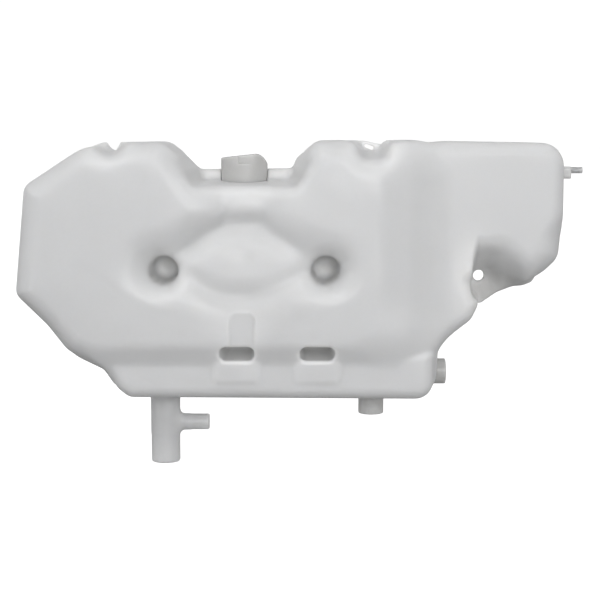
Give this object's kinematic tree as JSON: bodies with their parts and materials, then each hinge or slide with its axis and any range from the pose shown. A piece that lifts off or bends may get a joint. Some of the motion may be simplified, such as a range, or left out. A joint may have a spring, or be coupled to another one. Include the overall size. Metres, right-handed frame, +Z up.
{
  "type": "coolant expansion tank",
  "caption": "Wide two-lobed blow-moulded coolant expansion tank with a side chamber, filler neck, bottom outlet with side branch, sensor bosses and a bolt eye.",
  "frame": {"origin": "centre of the bolt eye in the flange between the main chamber and the side chamber, in the moulding's parting plane", "axes": "+X towards the vent nipple end (right seen from the front), +Y along the bolt eye towards the back, +Z up with the filler neck on top"},
  "size_m": [0.6632, 0.17, 0.3865],
  "materials": {
    "tank_plastic": "natural translucent moulded plastic, waxy satin",
    "insert_plastic": "natural injection-moulded plastic, satin"
  },
  "bodies": {
    "root": {"tank_body": "tank_plastic", "filler_neck": "insert_plastic", "side_sensor_boss": "insert_plastic", "bottom_sensor_boss": "insert_plastic", "vent_nipple": "insert_plastic"}
  },
  "joints": []
}
